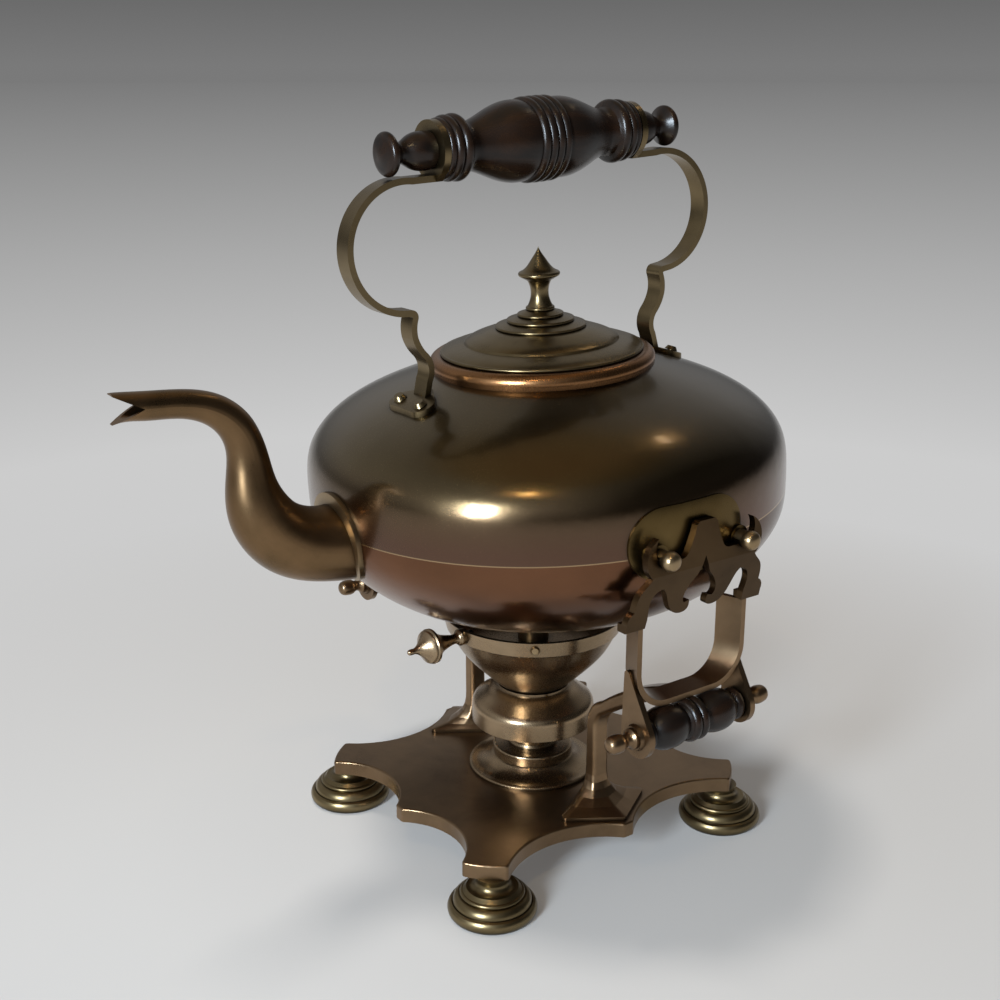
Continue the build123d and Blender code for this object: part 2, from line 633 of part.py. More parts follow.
# ------------------------------------------------------------------ lid
with BuildPart() as lid_dome:
    with BuildSketch(kettle_side):
        with BuildLine():
            Line((0, LID_CROWN), (6.4, LID_CROWN))
            ring_from = (6.4, LID_CROWN)
            for radius, level in reversed(list(zip(LID_RING_RADII, LID_RING_LEVELS))):
                shoulder = (radius - 0.9, level + 1.3)
                Line(ring_from, shoulder)
                ThreePointArc(shoulder, (radius, level + 0.6), (radius - 0.3, level))
                ring_from = (radius - 0.3, level)
            Spline(
                ring_from,
                (26.0, 67.6),
                (LID_STEP_RADIUS, LID_STEP_LEVEL),
                tangents=((1, -0.12), (1, -0.75)),
            )
            Line((LID_STEP_RADIUS, LID_STEP_LEVEL), (LID_STEP_RADIUS + 0.7, LID_STEP_LEVEL - 0.9))
            Spline(
                (LID_STEP_RADIUS + 0.7, LID_STEP_LEVEL - 0.9),
                (LID_RADIUS - 1.0, COLLAR_TOP + LID_SHEET),
                tangents=((1, -0.22), (1, -0.55)),
            )
            ThreePointArc(
                (LID_RADIUS - 1.0, COLLAR_TOP + LID_SHEET),
                (LID_RADIUS, COLLAR_TOP + LID_SHEET / 2),
                (LID_RADIUS - 0.4, COLLAR_TOP),
            )
            Line((LID_RADIUS - 0.4, COLLAR_TOP), (SHOULDER_RADIUS - SLEEVE_GAP - SLEEVE_WALL, COLLAR_TOP))
            Spline(
                (SHOULDER_RADIUS - SLEEVE_GAP - SLEEVE_WALL, COLLAR_TOP),
                (LID_STEP_RADIUS - 1.0, LID_STEP_LEVEL - 1.5 * LID_SHEET),
                (19.0, LID_RING_LEVELS[0] - LID_SHEET),
                (9.0, LID_RING_LEVELS[2] - LID_SHEET),
                (0, LID_RING_LEVELS[2] - LID_SHEET),
                tangents=((-1, 0.25), (-1, 0)),
            )
            Line((0, LID_RING_LEVELS[2] - LID_SHEET), (0, LID_CROWN))
        make_face()
    revolve(axis=kettle_axis)
    with Locations(kettle_top.offset(LID_CROWN)):
        Cylinder(KNOB_STUD_RADIUS + ROD_GAP, 20, mode=Mode.SUBTRACT)
save("lid_dome", lid_dome.part)

with BuildPart() as lid_sleeve:
    with BuildSketch(kettle_top.offset(COLLAR_TOP - SLEEVE_DEPTH)):
        Circle(SHOULDER_RADIUS - SLEEVE_GAP)
        Circle(SHOULDER_RADIUS - SLEEVE_GAP - SLEEVE_WALL, mode=Mode.SUBTRACT)
    extrude(amount=SLEEVE_DEPTH)
    chamfer(lid_sleeve.faces().sort_by(kettle_axis)[0].edges(), 0.3)
save("lid_sleeve", lid_sleeve.part)

nut_top = LID_RING_LEVELS[2] - LID_SHEET
stud_end = nut_top - KNOB_NUT_HEIGHT - 1.6
with BuildPart() as lid_knob:
    with BuildSketch(kettle_side):
        with BuildLine():
            Polyline((0, stud_end), (KNOB_STUD_RADIUS, stud_end), (KNOB_STUD_RADIUS, LID_CROWN))
            Line((KNOB_STUD_RADIUS, LID_CROWN), (5.8, LID_CROWN))
            ThreePointArc((5.8, LID_CROWN), (6.2, LID_CROWN + 0.8), (5.4, LID_CROWN + 1.7))
            Spline(
                (5.4, LID_CROWN + 1.7),
                (3.8, LID_CROWN + 7.4),
                (5.2, LID_CROWN + 12.6),
                tangents=((-0.55, 1), (0.6, 1)),
            )
            Line((5.2, LID_CROWN + 12.6), (KNOB_RADIUS - 0.5, LID_CROWN + 14.4))
            ThreePointArc(
                (KNOB_RADIUS - 0.5, LID_CROWN + 14.4),
                (KNOB_RADIUS, LID_CROWN + 15.3),
                (KNOB_RADIUS - 0.6, LID_CROWN + 16.2),
            )
            Spline(
                (KNOB_RADIUS - 0.6, LID_CROWN + 16.2),
                (3.1, LID_CROWN + 21.4),
                (0, KNOB_TIP),
                tangents=((-1, 0.35), (-0.35, 1)),
            )
            Line((0, KNOB_TIP), (0, stud_end))
        make_face()
    revolve(axis=kettle_axis)
save("lid_knob", lid_knob.part)

with BuildPart() as lid_knob_nut:
    with BuildSketch(kettle_top.offset(nut_top - KNOB_NUT_HEIGHT)):
        RegularPolygon(4.4, 6)
        Circle(KNOB_STUD_RADIUS, mode=Mode.SUBTRACT)
    extrude(amount=KNOB_NUT_HEIGHT)
save("lid_knob_nut", lid_knob_nut.part)

# ------------------------------------------------------------------ base plate and feet
half_flat = CUSP_FLAT / 2
end_corner, side_corner = CORNER_FLAT
corner_middle = tuple((near + far) / 2 + CORNER_BOW for near, far in zip(end_corner, side_corner))
with BuildPart() as base_plate:
    with BuildSketch(Plane.XY.offset(base_bottom)):
        with BuildLine():
            Line((CUSP_REACH[0], 0), (CUSP_REACH[0], half_flat))
            ThreePointArc((CUSP_REACH[0], half_flat), (SIDE_HOLLOW[0], 28.0), end_corner)
            ThreePointArc(end_corner, corner_middle, side_corner)
            ThreePointArc(side_corner, (32.0, SIDE_HOLLOW[1]), (half_flat, CUSP_REACH[1]))
            Line((half_flat, CUSP_REACH[1]), (0, CUSP_REACH[1]))
            Line((0, CUSP_REACH[1]), (0, 0))
            Line((0, 0), (CUSP_REACH[0], 0))
        make_face()
        mirror(about=Plane.YZ)
        mirror(about=Plane.XZ)
    extrude(amount=BASE_THICK)
    fillet(base_plate.edges().filter_by(Axis.Z), CORNER_ROUND)
    fillet(base_plate.faces().sort_by(Axis.Z)[-1].edges(), 0.9)
    with GridLocations(FOOT_SPACING[0], FOOT_SPACING[1], 2, 2):
        with Locations((0, 0, base_bottom)):
            Cylinder(FOOT_SCREW_RADIUS, 2 * BASE_THICK - 3, mode=Mode.SUBTRACT)
    with Locations((0, -PILLAR_AT - 1, BASE_TOP), (0, PILLAR_AT + 1, BASE_TOP)):
        Cylinder(SUPPORT_SCREW_RADIUS, 3 * BASE_THICK, mode=Mode.SUBTRACT)
    with Locations((0, 0, BASE_TOP)):
        with PolarLocations(SOCKET_SCREW_CIRCLE, 3, start_angle=30):
            Cylinder(SOCKET_SCREW_RADIUS, 3 * BASE_THICK, mode=Mode.SUBTRACT)
save("base_plate", base_plate.part)


def foot_names():
    """Each foot's name with its place on the table."""
    reach_x, reach_y = FOOT_SPACING[0] / 2, FOOT_SPACING[1] / 2
    return {
        f"foot_{end}_{side}": (ends[end] * reach_x, sides[side] * reach_y) for end in ends for side in sides
    }


for name, (x, y) in foot_names().items():
    with BuildPart() as foot:
        with BuildSketch(Plane(origin=(x, y, 0), x_dir=(1, 0, 0), z_dir=(0, -1, 0))):
            with BuildLine():
                Line((0, 0), (FOOT_RADIUS - 1.2, 0))
                ThreePointArc((FOOT_RADIUS - 1.2, 0), (FOOT_RADIUS, 2.2), (FOOT_RADIUS - 0.8, 5.0))
                Polyline((FOOT_RADIUS - 0.8, 5.0), (FOOT_RADIUS - 1.7, 5.5), (FOOT_RADIUS - 2.2, 5.4))
                ThreePointArc((FOOT_RADIUS - 2.2, 5.4), (FOOT_RADIUS - 2.8, 7.6), (FOOT_RADIUS - 4.3, 9.0))
                Line((FOOT_RADIUS - 4.3, 9.0), (FOOT_RADIUS - 5.2, 9.1))
                ThreePointArc((FOOT_RADIUS - 5.2, 9.1), (FOOT_RADIUS - 5.3, 10.1), (FOOT_RADIUS - 6.3, 10.6))
                Polyline((FOOT_RADIUS - 6.3, 10.6), (FOOT_RADIUS - 7.8, 12.1), (FOOT_RADIUS - 8.5, 12.0))
                ThreePointArc(
                    (FOOT_RADIUS - 8.5, 12.0), (FOOT_NECK_RADIUS + 0.7, 13.0), (FOOT_NECK_RADIUS, 15.0)
                )
                Line((FOOT_NECK_RADIUS, 15.0), (FOOT_NECK_RADIUS + 0.6, base_bottom))
                Polyline((FOOT_NECK_RADIUS + 0.6, base_bottom), (0, base_bottom), (0, 0))
            make_face()
        revolve(axis=Axis((x, y, 0), (0, 0, 1)))
        with Locations((x, y, 0)):
            Cylinder(FOOT_SCREW_RADIUS + 2.6, 5.0, mode=Mode.SUBTRACT)
            Cylinder(FOOT_SCREW_RADIUS, 3 * base_bottom, mode=Mode.SUBTRACT)
    save(name, foot.part)

with BuildPart() as foot_screws:
    with GridLocations(FOOT_SPACING[0], FOOT_SPACING[1], 2, 2):
        with Locations((0, 0, 1.2)):
            Cylinder(FOOT_SCREW_RADIUS + 2.2, 1.3, align=from_below)
            Cylinder(FOOT_SCREW_RADIUS, base_bottom + 2.5, align=from_below)
            Box(7.0, 0.9, 1.2, mode=Mode.SUBTRACT)
save("foot_screws", foot_screws.part)

# ------------------------------------------------------------------ supports
frame_underside = FRAME_FLOOR - FRAME_THICK
column_in = -PILLAR_AT + PILLAR_DEPTH / 2
column_out = -PILLAR_AT - PILLAR_DEPTH / 2
elbow = frame_underside - ELBOW_DROP
arm_end = -FRAME_INNER + 0.4
hook_out = -FRAME_INNER - 4.4


def is_corner(vertex, spread):
    """Whether a vertex of the foot's outline is one of its four real corners."""
    on_middle_line = abs(vertex.X) < 0.01 or abs(vertex.Y + PILLAR_AT + PILLAR_FOOT_SHIFT * spread) < 0.01
    return on_middle_line if spread > 0.5 else True


def foot_section(spread, level):
    """Foot outline: a lozenge at spread 1, drawn in to the column's rectangle at spread 0."""
    middle = -PILLAR_AT - PILLAR_FOOT_SHIFT * spread
    point_x = PILLAR_WIDTH / 2 + spread * (PILLAR_FOOT[0] - PILLAR_WIDTH) / 2
    point_y = PILLAR_DEPTH / 2 + spread * (PILLAR_FOOT[1] - PILLAR_DEPTH) / 2
    side_x = PILLAR_WIDTH / 2 + spread * (PILLAR_FOOT[0] / 2 - PILLAR_WIDTH) / 2
    side_y = PILLAR_DEPTH / 2 + spread * (PILLAR_FOOT[1] / 2 - PILLAR_DEPTH) / 2
    with BuildSketch(Plane.XY.offset(level)) as section:
        with Locations((0, middle)):
            Polygon(
                (point_x, 0),
                (side_x, side_y),
                (0, point_y),
                (-side_x, side_y),
                (-point_x, 0),
                (-side_x, -side_y),
                (0, -point_y),
                (side_x, -side_y),
                align=None,
            )
        fillet([corner for corner in section.vertices() if is_corner(corner, spread)], PILLAR_ROUND)
    return section.sketch


with BuildPart() as pillar_foot:
    edge_level = BASE_TOP + PILLAR_FOOT_EDGE
    loft([foot_section(1, BASE_TOP), foot_section(1, edge_level)], ruled=True)
    flare = []
    for step in range(7):
        share = step / 6
        level = edge_level + share**FLARE_POWER * (PILLAR_FLARE_TOP - edge_level)
        flare.append(foot_section((1 - share) ** 3, level))
    loft(flare, ruled=True)

with BuildPart() as pillar_arm:
    # Column, elbow and rising arm, drawn from the side.
    with BuildSketch(Plane.YZ):
        with BuildLine():
            Line((column_in, PILLAR_FLARE_TOP - 1), (column_in - 0.4, elbow - 13.6))
            ThreePointArc(
                (column_in - 0.4, elbow - 13.6), (column_in - 2.6, elbow - 5.0), (column_in - 9.0, elbow)
            )
            ThreePointArc(
                (column_in - 9.0, elbow), (arm_end + 20.2, elbow + 13.2), (arm_end, frame_underside + 1.0)
            )
            Polyline(
                (arm_end, frame_underside + 1.0),
                (-FRAME_INNER, frame_underside),
                (hook_out, frame_underside),
                (hook_out, frame_underside - 1.6),
            )
            ThreePointArc(
                (hook_out, frame_underside - 1.6),
                (arm_end + 16.2, elbow + 7.8),
                (column_out - 3.4, elbow - 6.4),
            )
            ThreePointArc(
                (column_out - 3.4, elbow - 6.4), (column_out - 0.9, elbow - 9.6), (column_out, elbow - 14.6)
            )
            Line((column_out, elbow - 14.6), (column_out, PILLAR_FLARE_TOP - 1))
            Line((column_out, PILLAR_FLARE_TOP - 1), (column_in, PILLAR_FLARE_TOP - 1))
        make_face()
    extrude(amount=PILLAR_WIDTH / 2, both=True)
    flanks = pillar_arm.faces().sort_by(Axis.X)
    long_edges = (flanks[0].edges() + flanks[-1].edges()).filter_by(lambda edge: edge.length > 6)
    fillet(long_edges.filter_by(lambda edge: edge.center().Z > PILLAR_FLARE_TOP), PILLAR_ROUND)

with BuildPart() as support_pillar:
    add(pillar_foot.part)
    add(pillar_arm.part)
    with Locations((0, -PILLAR_AT - 1, BASE_TOP)):
        Cylinder(SUPPORT_SCREW_RADIUS, 2 * SUPPORT_SCREW_BITE, mode=Mode.SUBTRACT)
for name, side in sides.items():
    save(f"support_pillar_{name}", side_copy(support_pillar.part, side))

with BuildPart() as support_screws:
    with Locations((0, -PILLAR_AT - 1, base_bottom), (0, PILLAR_AT + 1, base_bottom)):
        Cylinder(SUPPORT_SCREW_RADIUS, BASE_THICK + SUPPORT_SCREW_BITE, align=from_below)
        Cylinder(2 * SUPPORT_SCREW_RADIUS, 2.4, align=from_above)
save("support_screws", support_screws.part)

lug_in = FRAME_SPAN[1] - 0.6
lug_out = lug_in + LUG_THICK
boss_out = lug_out + ROD_BOSS_RISE
with BuildPart() as side_frame:
    # The splayed strap, lofted from its inner edge to its outer edge.
    for reach, half in ((FRAME_INNER, FRAME_SPAN[0]), (FRAME_OUTER, FRAME_SPAN[1])):
        full = half + FRAME_THICK
        with BuildSketch(Plane(origin=(0, -reach, 0), x_dir=(1, 0, 0), z_dir=(0, -1, 0))):
            with BuildLine():
                FilletPolyline(
                    (-full, CRADLE_FOOT),
                    (-full, frame_underside),
                    (full, frame_underside),
                    (full, CRADLE_FOOT),
                    radius=FRAME_CORNER + FRAME_THICK,
                )
                Line((full, CRADLE_FOOT), (half, CRADLE_FOOT))
                FilletPolyline(
                    (half, CRADLE_FOOT),
                    (half, FRAME_FLOOR),
                    (-half, FRAME_FLOOR),
                    (-half, CRADLE_FOOT),
                    radius=FRAME_CORNER,
                )
                Line((-half, CRADLE_FOOT), (-full, CRADLE_FOOT))
            make_face()
    loft()
    # A leaf-shaped lug on each flank, with the round eye of the grip's rod at its end.
    for flank in (-1, 1):
        with BuildSketch(Plane.YZ.offset(flank * (lug_in + LUG_THICK / 2))):
            with Locations((-SIDE_GRIP_AT, SIDE_GRIP_HEIGHT)):
                Circle(LUG_RADIUS)
            with Locations((-FRAME_INNER - 4.5, FRAME_FLOOR + 12.5)):
                Circle(1.4)
            make_hull()
        extrude(amount=LUG_THICK / 2, both=True)
        with BuildSketch(Plane.YZ.offset(flank * lug_out)):
            with Locations((-SIDE_GRIP_AT, SIDE_GRIP_HEIGHT)):
                Circle(ROD_BOSS_RADIUS)
        extrude(amount=flank * ROD_BOSS_RISE, taper=20)
        with Locations(Plane(origin=(0, -SIDE_GRIP_AT, SIDE_GRIP_HEIGHT), z_dir=(1, 0, 0))):
            Cylinder(SIDE_ROD_RADIUS + ROD_GAP, 3 * boss_out, mode=Mode.SUBTRACT)
for name, side in sides.items():
    save(f"side_frame_{name}", side_copy(side_frame.part, side))

side_axis = Axis((0, -SIDE_GRIP_AT, SIDE_GRIP_HEIGHT), (1, 0, 0))
side_face = Plane(origin=(0, -SIDE_GRIP_AT, SIDE_GRIP_HEIGHT), x_dir=(1, 0, 0), z_dir=(0, -1, 0))
side_plane = Plane(origin=(0, -SIDE_GRIP_AT, SIDE_GRIP_HEIGHT), z_dir=(1, 0, 0))
with BuildPart() as side_grip:
    with BuildSketch(side_face):
        with BuildLine():
            ThreePointArc((0, SIDE_GRIP_RADIUS - 1.4), (2.0, SIDE_GRIP_RADIUS), (4.0, SIDE_GRIP_RADIUS - 1.6))
            Line((4.0, SIDE_GRIP_RADIUS - 1.6), (5.0, SIDE_GRIP_RADIUS - 2.4))
            Spline(
                (5.0, SIDE_GRIP_RADIUS - 2.4),
                (10.0, SIDE_GRIP_RADIUS - 0.5),
                (15.0, SIDE_GRIP_RADIUS - 0.3),
                (21.5, 5.6),
                tangents=((1, 0.6), (1, -0.9)),
            )
            ThreePointArc((21.5, 5.6), (23.4, 6.6), (lug_in, 5.4))
            Polyline((lug_in, 5.4), (lug_in, 0), (0, 0), (0, SIDE_GRIP_RADIUS - 1.4))
        make_face()
        mirror(about=Plane.YZ)
    revolve(axis=side_axis)
    with Locations(side_plane):
        Cylinder(SIDE_ROD_RADIUS + ROD_GAP, 3 * lug_in, mode=Mode.SUBTRACT)
side_rod_end = boss_out + 3.0
with BuildPart() as side_rod:
    with Locations(side_plane):
        Cylinder(SIDE_ROD_RADIUS, 2 * side_rod_end)
with BuildPart() as side_knobs:
    with BuildSketch(side_face):
        with BuildLine():
            Polyline((boss_out, 0), (boss_out, 4.2), (boss_out + 1.3, 4.2), (boss_out + 2.2, 3.2))
            ThreePointArc((boss_out + 2.2, 3.2), (boss_out + 3.7, 2.6), (boss_out + 5.2, 3.0))
            Spline(
                (boss_out + 5.2, 3.0),
                (boss_out + 8.8, 3.8),
                (SIDE_KNOB_REACH, 0),
                tangents=((1, 0.8), (0, -1)),
            )
            Line((SIDE_KNOB_REACH, 0), (boss_out, 0))
        make_face()
        mirror(about=Plane.YZ)
    revolve(axis=side_axis)
    with Locations(side_plane):
        Cylinder(SIDE_ROD_RADIUS, 2 * side_rod_end, mode=Mode.SUBTRACT)
for name, side in sides.items():
    save(f"side_grip_{name}", side_copy(side_grip.part, side))
    save(f"side_rod_{name}", side_copy(side_rod.part, side))
    save(f"side_knobs_{name}", side_copy(side_knobs.part, side))

# ------------------------------------------------------------------ cradles
seat = PIN_RADIUS + SEAT_GAP
cradle_foot = CRADLE_FOOT - PIN_HEIGHT
cradle_plane = Plane(origin=(0, -FRAME_INNER, PIN_HEIGHT), x_dir=(1, 0, 0), z_dir=(0, -1, 0))
with BuildPart() as cradle:
    # Right half of the pierced plate, heights counted from the pins, then its mirror image.
    with BuildSketch(cradle_plane):
        with BuildLine():
            Polyline((0, 11.8), (3.9, 11.8), (5.4, 10.4))
            Spline((5.4, 10.4), (8.3, 2.0), (12.0, -1.5), tangents=((0.2, -1), (1, -0.1)))
            Line((12.0, -1.5), (rear_pin_x - seat, -1.5))
            Line((rear_pin_x - seat, -1.5), (rear_pin_x - seat, 0))
            ThreePointArc((rear_pin_x - seat, 0), (rear_pin_x, -seat), (rear_pin_x + seat, 0))
            ThreePointArc((rear_pin_x + seat, 0), (25.6, 4.0), (24.4, 8.6))
            ThreePointArc((24.4, 8.6), (29.4, 2.4), (26.6, -7.0))
            Spline((26.6, -7.0), (31.0, -12.0), (32.6, -20.0), tangents=((0.6, -1), (0, -1)))
            ThreePointArc((32.6, -20.0), (34.8, -22.0), (35.3, -25.0))
            Polyline((35.3, -25.0), (35.3, cradle_foot), (25.5, cradle_foot), (25.2, -24.5))
            Spline((25.2, -24.5), (25.6, -17.4), (20.2, -12.4), tangents=((0.1, 1), (-1, 0.1)))
            Spline(
                (20.2, -12.4),
                (16.8, -17.5),
                (10.4, -25.2),
                (5.0, -24.4),
                (4.8, -20.6),
                tangents=((-0.9, -0.6), (0.3, 1)),
            )
            Line((4.8, -20.6), (7.2, -21.2))
            Spline((7.2, -21.2), (8.4, -18.2), (4.6, -11.4), (0, -2.6), tangents=((1, 0.5), (-0.4, 1)))
            Line((0, -2.6), (0, 11.8))
        make_face()
        mirror(about=Plane.YZ)
    extrude(amount=cradle_outer - FRAME_INNER)
    # Only the part inside a bent strip stays: upright above the knee, leaning in below it.
    foot_inner = CRADLE_FOOT_OUTER - CRADLE_THICK
    with BuildSketch(Plane.YZ):
        with BuildLine():
            Polyline(
                (-cradle_outer, PIN_HEIGHT + 20),
                (-cradle_outer, CRADLE_KNEE),
                (-CRADLE_FOOT_OUTER, CRADLE_FOOT),
                (-foot_inner, CRADLE_FOOT),
                (-cradle_inner, CRADLE_KNEE),
                (-cradle_inner, PIN_HEIGHT + 20),
                close=True,
            )
        make_face()
    extrude(amount=50, both=True, mode=Mode.INTERSECT)
    # Pads that carry the plate back over the strap's ends.
    with BuildSketch(Plane.XY.offset(CRADLE_FOOT)):
        for flank in (-1, 1):
            with Locations((flank * 30.4, -(PAD_INNER + CRADLE_FOOT_OUTER) / 2)):
                Rectangle(9.8, CRADLE_FOOT_OUTER - PAD_INNER)
    extrude(amount=PAD_HEIGHT)
for name, side in sides.items():
    save(f"cradle_{name}", side_copy(cradle.part, side))

# ------------------------------------------------------------------ burner socket
with BuildPart() as burner_socket:
    with BuildSketch(Plane.XZ):
        with BuildLine():
            Polyline((0, BASE_TOP), (SOCKET_FLANGE_RADIUS, BASE_TOP), (SOCKET_FLANGE_RADIUS, BASE_TOP + 1.0))
            ThreePointArc(
                (SOCKET_FLANGE_RADIUS, BASE_TOP + 1.0),
                (SOCKET_FLANGE_RADIUS - 0.6, BASE_TOP + 1.6),
                (SOCKET_FLANGE_RADIUS - 1.6, BASE_TOP + 1.7),
            )
            ThreePointArc(
                (SOCKET_FLANGE_RADIUS - 1.6, BASE_TOP + 1.7),
                (22.6, BASE_TOP + 2.8),
                (SOCKET_RING_RADIUS + 0.6, BASE_TOP + 5.6),
            )
            Line((SOCKET_RING_RADIUS + 0.6, BASE_TOP + 5.6), (SOCKET_RING_RADIUS, BASE_TOP + 6.0))
            Line((SOCKET_RING_RADIUS, BASE_TOP + 6.0), (SOCKET_RING_RADIUS, SOCKET_TOP - 1.0))
            ThreePointArc(
                (SOCKET_RING_RADIUS, SOCKET_TOP - 1.0),
                (SOCKET_RING_RADIUS - 0.4, SOCKET_TOP - 0.2),
                (SOCKET_RING_RADIUS - 1.2, SOCKET_TOP),
            )
            Polyline(
                (SOCKET_RING_RADIUS - 1.2, SOCKET_TOP),
                (PLUG_RADIUS + TURN_GAP, SOCKET_TOP),
                (PLUG_RADIUS + TURN_GAP, SOCKET_FLOOR),
                (0, SOCKET_FLOOR),
                (0, BASE_TOP),
            )
        make_face()
    revolve(axis=Axis.Z)
    with Locations((0, 0, BASE_TOP)):
        with PolarLocations(SOCKET_SCREW_CIRCLE, 3, start_angle=30):
            Cylinder(SOCKET_SCREW_RADIUS, 4.4, mode=Mode.SUBTRACT)
save("burner_socket", burner_socket.part)

with BuildPart() as socket_screws:
    with Locations((0, 0, base_bottom)):
        with PolarLocations(SOCKET_SCREW_CIRCLE, 3, start_angle=30):
            Cylinder(SOCKET_SCREW_RADIUS, BASE_THICK + 2, align=from_below)
            Cylinder(2 * SOCKET_SCREW_RADIUS, 1.8, align=from_above)
save("socket_screws", socket_screws.part)

# ------------------------------------------------------------------ burner
nut_level = BOWL_FOOT + 2.0
stem_end = nut_level + BURNER_NUT_HEIGHT + 0.4
with BuildPart() as burner_stem:
    with BuildSketch(Plane.XZ):
        with BuildLine():
            Polyline(
                (0, SOCKET_FLOOR),
                (PLUG_RADIUS - 0.5, SOCKET_FLOOR),
                (PLUG_RADIUS, SOCKET_FLOOR + 0.5),
                (PLUG_RADIUS, SOCKET_TOP + 1.0),
                (PLUG_RADIUS - 0.6, SOCKET_TOP + 2.0),
                (PLUG_RADIUS - 0.6, BOWL_FOOT - SKIRT_WALL),
                (STEM_THREAD_RADIUS, BOWL_FOOT - SKIRT_WALL),
                (STEM_THREAD_RADIUS, stem_end),
                (0, stem_end),
                (0, SOCKET_FLOOR),
            )
        make_face()
    revolve(axis=Axis.Z)
save("burner_stem", burner_stem.part)

with BuildPart() as burner_nut:
    with BuildSketch(Plane.XY.offset(nut_level)):
        RegularPolygon(8.4, 6)
        Circle(STEM_THREAD_RADIUS, mode=Mode.SUBTRACT)
    extrude(amount=BURNER_NUT_HEIGHT)
save("burner_nut", burner_nut.part)

with BuildPart() as burner_skirt:
    with BuildSketch(Plane.XZ):
        with BuildLine():
            Polyline(
                (SKIRT_RADIUS - SKIRT_WALL, SKIRT_BOTTOM),
                (SKIRT_RADIUS - 0.5, SKIRT_BOTTOM),
                (SKIRT_RADIUS, SKIRT_BOTTOM + 0.5),
                (SKIRT_RADIUS, SKIRT_TOP),
            )
            Spline(
                (SKIRT_RADIUS, SKIRT_TOP),
                (SKIRT_RADIUS - 3.4, SKIRT_TOP + 4.9),
                (BOWL_FOOT_RADIUS + 2.6, BOWL_FOOT - 1.9),
                (BOWL_FOOT_RADIUS + 1.0, BOWL_FOOT - 1.1),
                tangents=((0, 1), (-0.6, 1)),
            )
            Polyline(
                (BOWL_FOOT_RADIUS + 1.0, BOWL_FOOT - 1.1),
                (BOWL_FOOT_RADIUS + 1.0, BOWL_FOOT),
                (STEM_THREAD_RADIUS, BOWL_FOOT),
                (STEM_THREAD_RADIUS, BOWL_FOOT - SKIRT_WALL),
                (BOWL_FOOT_RADIUS - 1.0, BOWL_FOOT - SKIRT_WALL),
            )
            Spline(
                (BOWL_FOOT_RADIUS - 1.0, BOWL_FOOT - SKIRT_WALL),
                (SKIRT_RADIUS - 4.8, SKIRT_TOP + 4.3),
                (SKIRT_RADIUS - SKIRT_WALL, SKIRT_TOP - 0.4),
                tangents=((1, -0.3), (0, -1)),
            )
            Line((SKIRT_RADIUS - SKIRT_WALL, SKIRT_TOP - 0.4), (SKIRT_RADIUS - SKIRT_WALL, SKIRT_BOTTOM))
        make_face()
    revolve(axis=Axis.Z)
save("burner_skirt", burner_skirt.part)


bowl_height = BOWL_GROOVE - BOWL_FOOT


def bowl_solid(shrink, floor_level):
    """The bowl as a solid, drawn in by shrink, with its flat bottom at floor_level."""
    with BuildPart() as solid:
        with BuildSketch(Plane.XZ):
            with BuildLine():
                Line((0, floor_level), (BOWL_FOOT_RADIUS - shrink, floor_level))
                Spline(
                    (BOWL_FOOT_RADIUS - shrink, floor_level),
                    (26.0 - shrink, BOWL_FOOT + 0.36 * bowl_height + 0.6 * shrink),
                    (34.4 - shrink, BOWL_FOOT + 0.72 * bowl_height + 0.4 * shrink),
                    (BOWL_GROOVE_RADIUS - shrink, BOWL_GROOVE),
                    tangents=((1, 0.85), (0.5, 1)),
                )
                Polyline(
                    (BOWL_GROOVE_RADIUS - shrink, BOWL_GROOVE),
                    (BOWL_RIM_RADIUS - 1.6 - shrink, BOWL_GROOVE + 0.9),
                    (BOWL_RIM_RADIUS - shrink, BOWL_RIM),
                    (0, BOWL_RIM),
                    (0, floor_level),
                )
            make_face()
        revolve(axis=Axis.Z)
    return solid.part


bowl_outside = bowl_solid(0, BOWL_FOOT)
bowl_inside = bowl_solid(BOWL_WALL, nut_level)
handle_middle = (0, 0, BURNER_HANDLE_HEIGHT)
handle_out = (-cos(radians(BURNER_HANDLE_TURN)), -sin(radians(BURNER_HANDLE_TURN)), 0)
handle_way = Plane(origin=handle_middle, z_dir=handle_out)
rim_point = handle_way.from_local_coords((0, 0, BOWL_RIM_RADIUS))
handle_plane = Plane(origin=rim_point, x_dir=handle_out, z_dir=(handle_out[1], -handle_out[0], 0))
tang_plane = handle_way.offset(BOWL_RIM_RADIUS - BURNER_TANG_BITE)
handle_line = Axis(handle_middle, handle_out)
with BuildPart() as burner_handle:
    with BuildSketch(handle_plane):
        with BuildLine():
            Polyline((-1.6, 0), (-1.6, 3.6), (1.4, 3.6), (2.2, 3.0))
            Spline((2.2, 3.0), (7.0, 2.6), (12.2, 4.4), (15.6, 7.6), tangents=((0.6, -1), (0.8, 1)))
            Polyline((15.6, 7.6), (16.8, 7.7), (17.4, 6.9), (18.1, 7.3), (18.6, 7.0))
            Spline((18.6, 7.0), (21.0, 3.9), (25.2, 1.2), tangents=((0.5, -1), (1, -0.25)))
            Spline((25.2, 1.2), (26.4, 1.3), (BURNER_HANDLE_LENGTH, 0), tangents=((1, 0.4), (0, -1)))
            Line((BURNER_HANDLE_LENGTH, 0), (-1.6, 0))
        make_face()
    revolve(axis=handle_line)
    add(bowl_outside, mode=Mode.SUBTRACT)
    with Locations(tang_plane):
        Cylinder(BURNER_TANG_RADIUS, BURNER_TANG_BITE + 2.4, align=from_below)
save("burner_handle", burner_handle.part)


def lip_screw_planes():
    """Planes of the three small screws round the bowl's lip, looking outwards."""
    planes = []
    for turn in (234, 354, 114):
        way = (cos(radians(turn)), sin(radians(turn)), 0)
        here = ((BOWL_RIM_RADIUS - 1.0) * way[0], (BOWL_RIM_RADIUS - 1.0) * way[1], BURNER_HANDLE_HEIGHT)
        planes.append(Plane(origin=here, z_dir=way))
    return planes


